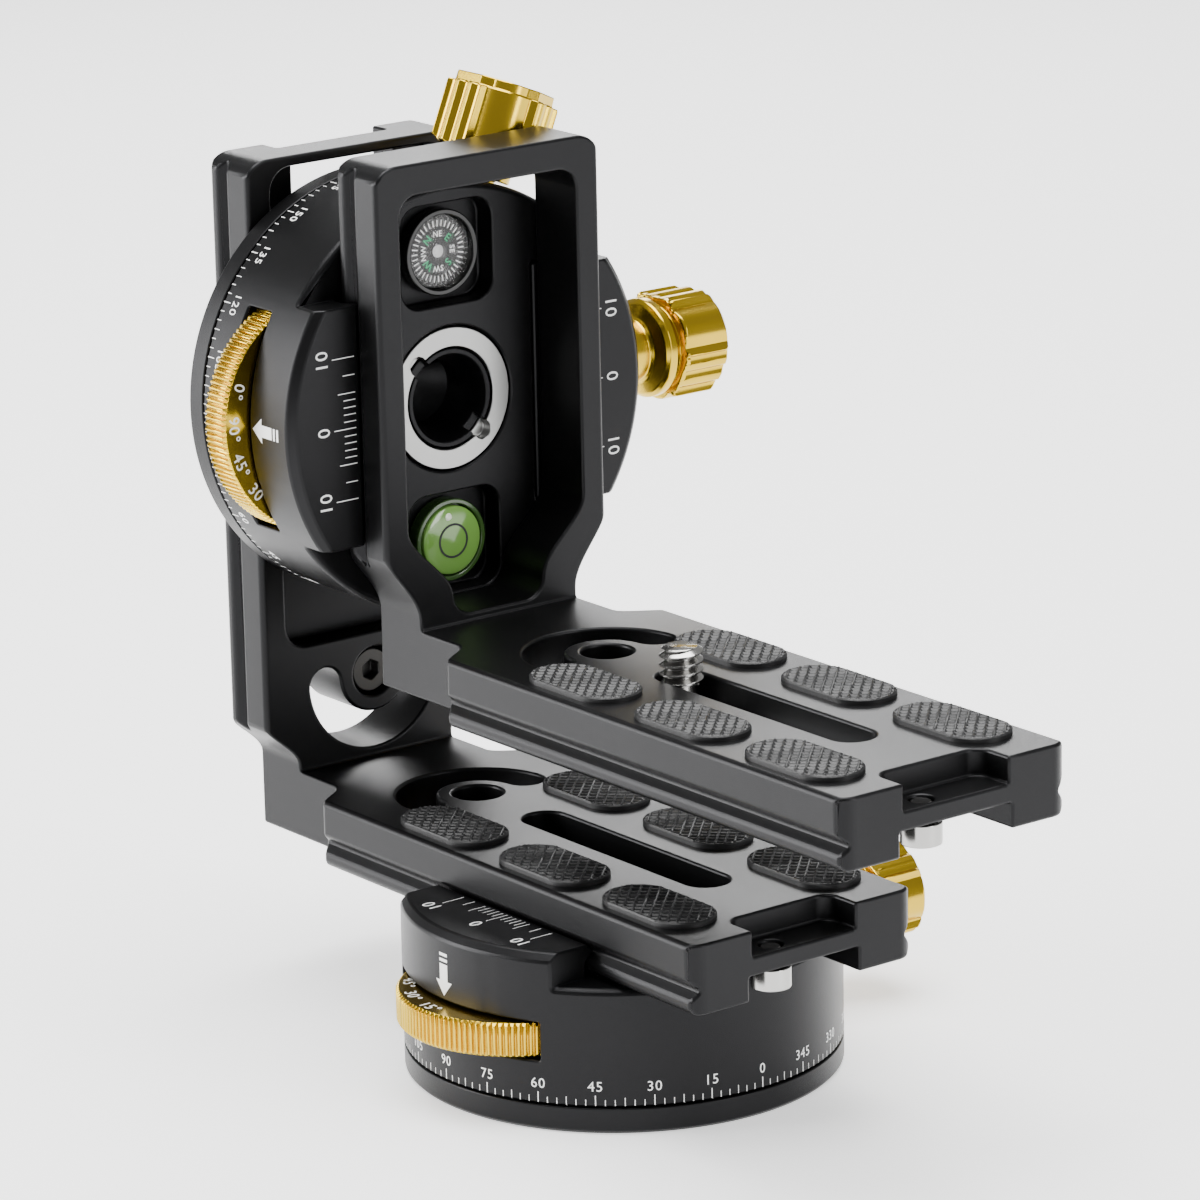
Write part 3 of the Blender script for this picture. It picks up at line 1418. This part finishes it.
    def build_knobs(self) -> None:
        """Builds the clamp's knob and the knob that locks the turning."""
        s = self.size
        clamp = self.knob.clamp_knob(s.clamp_screw).along_y().moved(z=s.clamp_height)
        self.piece("jaw_knob", clamp, GOLD, "clamp_knob", "clamp").edged(0.16, angle=24, least=0.18)
        lock = self.knob.lock_knob(s.lock_screw).along_y().moved(z=s.lock_height).spun(s.lock_turn - 90)
        self.piece("turn_lock_knob", lock, GOLD, "lock_knob", "lock").edged(0.16, angle=24, least=0.18)

    def scale_marks(self) -> Solid:
        """The degree scale round the drum's foot, with its longer and its numbered marks."""
        m = self.marks
        low = self.size.seam + m.scale_rise
        radius = self.size.radius
        marks = []
        for count in range(m.scale_steps):
            degree = count * 360 / m.scale_steps
            numbered = count % m.scale_numbered == 0
            length = m.scale_lengths[0 if numbered else 1 if count % m.scale_longer == 0 else 2]
            line = stroke(m.scale_widths[0 if numbered else 1], low, low + length)
            marks.append(wrapped(line, radius).spun(90 - degree))
            if numbered:
                number = lettering(f"{degree:.0f}", m.scale_text).moved(y=self.size.seam + m.scale_text_rise)
                marks.append(wrapped(number, radius).spun(90 - degree))
        return gathered(marks)

    def arrow(self) -> Solid:
        """The white arrow over the dial's window."""
        m = self.marks
        proud = (-PRINT_PROUD, PRINT_PROUD)
        flats = [Solid.prism(m.arrow, *proud)]
        flats += [Solid.block((-m.arrow_half, m.arrow_half), (low, low + m.arrow_tail), proud)
                  for low in m.arrow_tails]
        return gathered([wrapped(flat, self.size.radius) for flat in flats])

    def ruler(self) -> Solid:
        """The ruler on the jaw on the +Y side, with its numbers, before it is turned for the other."""
        m = self.marks
        top = self.size.jaw_top
        lines = []
        for place, length in m.ruler:
            line = stroke(m.ruler_width, m.ruler_start, m.ruler_start + length)
            lines += [line.moved(x=side * place, z=top) for side in ((-1, 1) if place else (1,))]
        numbers = [lettering(text, m.ruler_text, m.ruler_bold).moved(x=x, y=m.ruler_text_place, z=top)
                   for text, x in (("10", -10), ("0", 0), ("10", 10))]
        return gathered(lines + numbers)

    def build_prints(self) -> None:
        """Builds the scales, the rulers and the arrow."""
        self.piece("degree_scale", self.scale_marks(), PRINT)
        self.piece("index_arrow", self.arrow(), PRINT)
        self.piece("fixed_jaw_ruler", self.ruler().spun(180), PRINT)
        self.piece("sliding_jaw_ruler", self.ruler(), PRINT, part="jaw")

    def build_compass(self) -> None:
        """Builds the compass: its case, its dome, its card, ticks, letters and needle hub."""
        c = self.compass
        x = -self.size.pocket_centre
        low = self.size.pocket_floor + GAP
        z = low + c.card_span[1]
        cup = c.inset.cup_shape(low).moved(x=x)
        self.piece("compass_bowl", cup, PLASTIC, "compass_case").edged(0.18)
        self.piece("compass_dome", c.inset.dome_shape(low).moved(x=x), DOME, "compass_glass").smooth(40)
        card = Solid.bar(c.card, low + c.card_span[0], z).moved(x=x)
        self.piece("compass_card", card, PLASTIC).smooth()
        ticks = [stroke(c.tick_width, *c.tick_span).spun(360 / c.ticks * k) for k in range(c.ticks)]
        self.piece("compass_ticks", gathered(ticks).moved(x=x, z=z), PRINT)
        letters: dict[int, list[Solid]] = {1: [], 2: []}
        for count, text in enumerate(("N", "NE", "E", "SE", "S", "SW", "W", "NW")):
            letter = lettering(text, c.letter_sizes[len(text) - 1], c.letter_bold).moved(y=c.letter_reach)
            letters[len(text)].append(letter.spun(c.north - 45 * count))
        self.piece("compass_letters", gathered(letters[2]).moved(x=x, z=z), PRINT)
        self.piece("compass_cardinals", gathered(letters[1]).moved(x=x, z=z), GREEN_PRINT)
        hub = Solid.turned(raised(c.hub, z), SMALL_SIDES).moved(x=x)
        self.piece("compass_hub", hub, NICKEL).smooth(50)

    def build_level(self) -> None:
        """Builds the round level: its case, its vial, its ring and its bubble."""
        v = self.level
        x = self.size.pocket_centre
        low = self.size.pocket_floor + GAP
        top = low + v.inset.rim + v.inset.dome_rise
        cup = v.inset.cup_shape(low).moved(x=x)
        self.piece("level_bowl", cup, VIAL_RIM, "level_case").edged(0.15)
        self.piece("level_glass", v.inset.dome_shape(low).moved(x=x), LIQUID, "level_vial").smooth(40)
        ring = Solid.turned(raised(v.ring, top), closed=True).moved(x=x)
        self.piece("level_ring", ring, DARK_PRINT).smooth()
        drift = v.drift_turned if self.turned else v.drift_level
        bubble = Solid.turned(raised(v.bubble, top), SMALL_SIDES)
        bubble = bubble.moved(x=x + drift[0], y=drift[1], z=-v.bubble_sink)
        self.piece("level_bubble", bubble, BUBBLE).smooth(60)

    def dress_inner_pieces(self) -> None:
        """Gives the CAD nodes that stay their finishes."""
        inner = {STEEL: ("index_plate", "detent_plunger", "guide_pin_left", "guide_pin_right", "clamp_screw"),
                 WIRE: ("detent_spring",), PLASTIC: ("brake_shoe",)}
        for finish, names in inner.items():
            for name in names:
                dress(f"{self.prefix}_{name}", finish)

    def build(self) -> None:
        """Builds every piece of the rotator."""
        self.build_base()
        self.build_drum()
        self.build_jaw()
        self.build_dial()
        self.build_knobs()
        self.build_prints()
        self.build_compass()
        self.build_level()
        self.dress_inner_pieces()


@dataclass(frozen=True)
class Lamp:
    """A soft rectangular light aimed at a point, in metres and watts."""

    name: str
    place: Place
    size: Point
    power: float
    aim: Place = (0, 0, 0.07)

    def build(self) -> None:
        """Adds the light to the scene."""
        data = configured(bpy.data.lights.new(self.name, "AREA"), shape="RECTANGLE", size=self.size[0],
                          size_y=self.size[1], energy=self.power)
        way = Vector(self.aim) - Vector(self.place)
        configured(linked(self.name, data), location=self.place,
                   rotation_euler=way.to_track_quat("-Z", "Y").to_euler())


LAMPS = (Lamp("left_softbox", (-0.6, -0.75, 0.3), (0.5, 0.6), 16),
         Lamp("right_softbox", (0.9, 0.3, 0.35), (0.25, 0.7), 5),
         Lamp("top_softbox", (-0.1, 0.05, 1.1), (0.9, 0.9), 28),
         Lamp("back_softbox", (-0.7, 0.55, 0.38), (0.5, 0.2), 2.6))


@dataclass
class Studio:
    """The plain floor, the soft lights and the camera."""

    azimuth: float = 52.75
    elevation: float = 15.705
    roll: float = -1.245
    distance: float = 812.39
    focal_pixels: float = 5997.13
    image_pixels: float = 1200.0
    sensor: float = 36.0
    target_height: float = 65.73
    target_back: float = -2.045
    floor_size: float = 6.0
    floor_grey: float = 0.9
    floor_glow: float = 0.9
    floor_roughness: float = 0.6
    sky: float = 0.38

    def build_camera(self) -> None:
        """Places the camera as the photograph's."""
        low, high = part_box("pan_base")
        a = math.radians(self.azimuth)
        e = math.radians(self.elevation)
        r = math.radians(self.roll)
        back = Vector((math.sin(a) * math.cos(e), -math.cos(a) * math.cos(e), math.sin(e)))
        right = Vector((math.cos(a), math.sin(a), 0))
        up = back.cross(right)
        side = right * math.cos(r) + up * math.sin(r)
        top = up * math.cos(r) - right * math.sin(r)
        target = Vector(((low.x + high.x) / 2, (low.y + high.y) / 2, self.target_height * MM))
        target += right * self.target_back * MM
        data = configured(bpy.data.cameras.new("camera"), sensor_width=self.sensor, sensor_height=self.sensor,
                          clip_start=0.05)
        data.lens = self.sensor * self.focal_pixels / self.image_pixels
        holder = linked("camera", data)
        turn = Matrix((side, top, back)).transposed().to_4x4()
        holder.matrix_world = Matrix.Translation(target + back * self.distance * MM) @ turn
        bpy.context.scene.camera = holder

    def build_floor(self) -> None:
        """Lays the pale floor."""
        mesh = bpy.data.meshes.new("floor")
        with editing(mesh) as work:
            bmesh.ops.create_grid(work, x_segments=1, y_segments=1, size=self.floor_size)
        made = bpy.data.materials.new("pale_floor")
        made.use_nodes = True
        Nodes(made.node_tree).fill(made.node_tree.nodes["Principled BSDF"], {
            "Base Color": (self.floor_grey, self.floor_grey, self.floor_grey, 1),
            "Emission Color": (1, 1, 1, 1), "Emission Strength": self.floor_glow,
            "Roughness": self.floor_roughness})
        mesh.materials.append(made)
        floor = linked("floor", mesh)

    def build(self) -> None:
        """Builds the camera, the world, the lights and the floor."""
        self.build_camera()
        world = bpy.data.worlds.new("soft_room")
        bpy.context.scene.world = world
        world.use_nodes = True
        Nodes(world.node_tree).fill(world.node_tree.nodes["Background"], {
            "Color": (1, 1, 1, 1), "Strength": self.sky})
        for lamp in LAMPS:
            lamp.build()
        self.build_floor()


def build_all() -> None:
    """Builds the whole head and its studio, one sub-assembly after another."""
    Studio().build()
    Rotator("pan", "tripod_base", step=4, turned=False).build()
    Rotator("tilt", "lower_arm", step=1, turned=True).build()
    LowerBracket("lower", "lower_arm", "lower_bracket").build()
    UpperBracket("upper", "camera_arm", "upper_bracket").build()


def main() -> None:
    logging.basicConfig(level=logging.INFO, format="%(message)s")
    build_all()
    bpy.context.view_layer.update()
    log.info("%d pieces", len(Piece.made))


if __name__ == "__main__":
    main()
